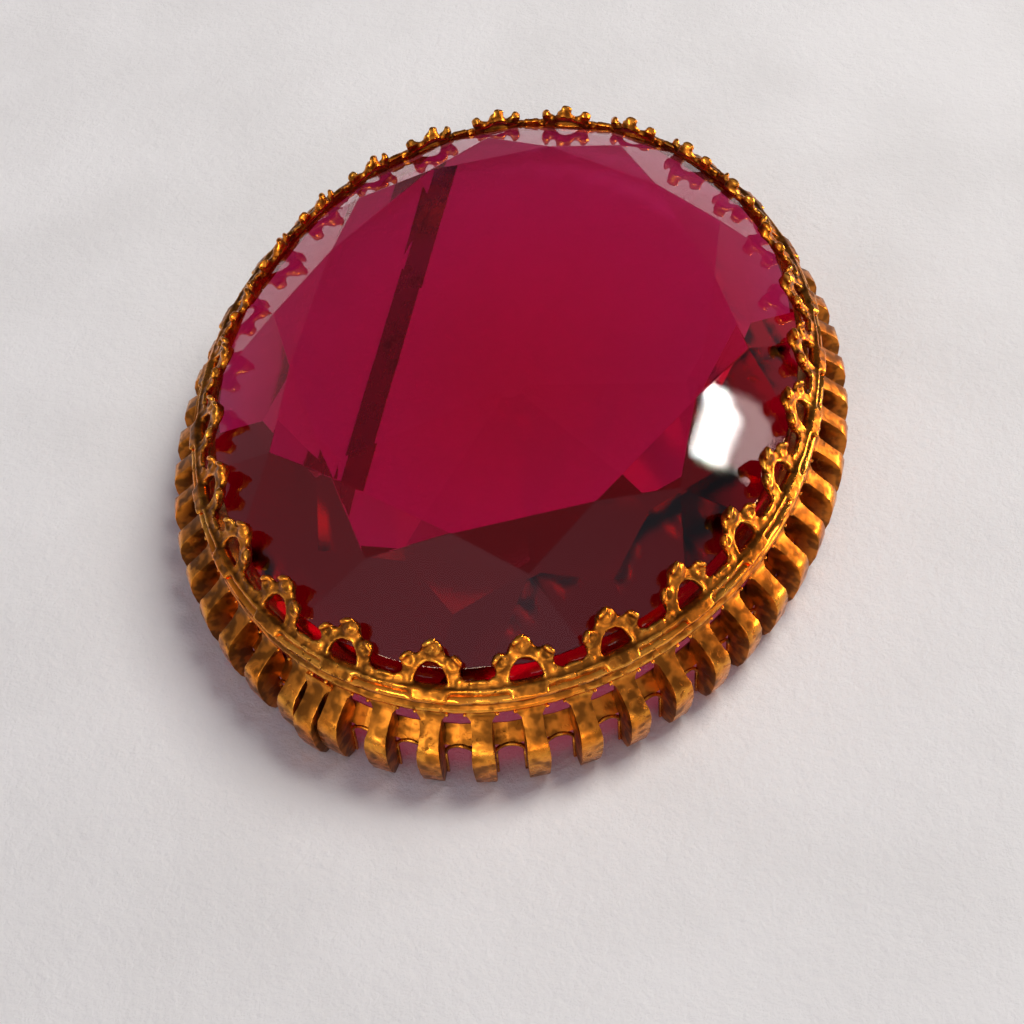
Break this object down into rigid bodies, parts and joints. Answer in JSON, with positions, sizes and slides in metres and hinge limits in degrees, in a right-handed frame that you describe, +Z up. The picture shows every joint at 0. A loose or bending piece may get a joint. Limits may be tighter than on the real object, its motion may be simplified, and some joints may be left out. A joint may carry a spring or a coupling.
{
  "type": "oval brooch",
  "caption": "Oval brooch with a large faceted red stone in a pierced crown and ribbed gallery, with a hinged pin and a turning safety catch behind.",
  "frame": {"origin": "middle of the brooch's footprint, at the lowest point of the catch", "axes": "+Z up through the stone's table, away from the wearer; +Y along the long axis, towards the pin's hinge; +X across"},
  "size_m": [0.0358, 0.0456, 0.0139],
  "materials": {
    "ruby_glass": "polished, deep ruby red",
    "antique_gold": "stamped brass, gold plated, dark tarnish in the recesses",
    "plain_gold": "gold plated brass, satin",
    "pin_wire": "nickel silver wire, thin gold plating"
  },
  "bodies": {
    "setting": {"stone": "ruby_glass", "crown_gallery": "antique_gold", "rail_wire": "antique_gold", "rib_gallery": "antique_gold", "seat_ring": "antique_gold", "back_bar": "plain_gold", "joint_pad": "plain_gold", "catch_pad": "plain_gold", "hinge_joint": "plain_gold", "hinge_rivet": "pin_wire", "catch_housing": "plain_gold"},
    "pin": {"pin_stem": "pin_wire"},
    "roller": {"catch_roller": "plain_gold"}
  },
  "joints": [
    {"name": "pin_hinge", "type": "hinge", "parent": "setting", "child": "pin", "pos_m": [-0.007, 0.013, 0.00162], "axis": [1, 0, 0], "range_deg": [0, 95]},
    {"name": "catch_turn", "type": "hinge", "parent": "setting", "child": "roller", "pos_m": [-0.007, -0.013, 0.00162], "axis": [0, -1, 0], "range_deg": [0, 140]}
  ]
}
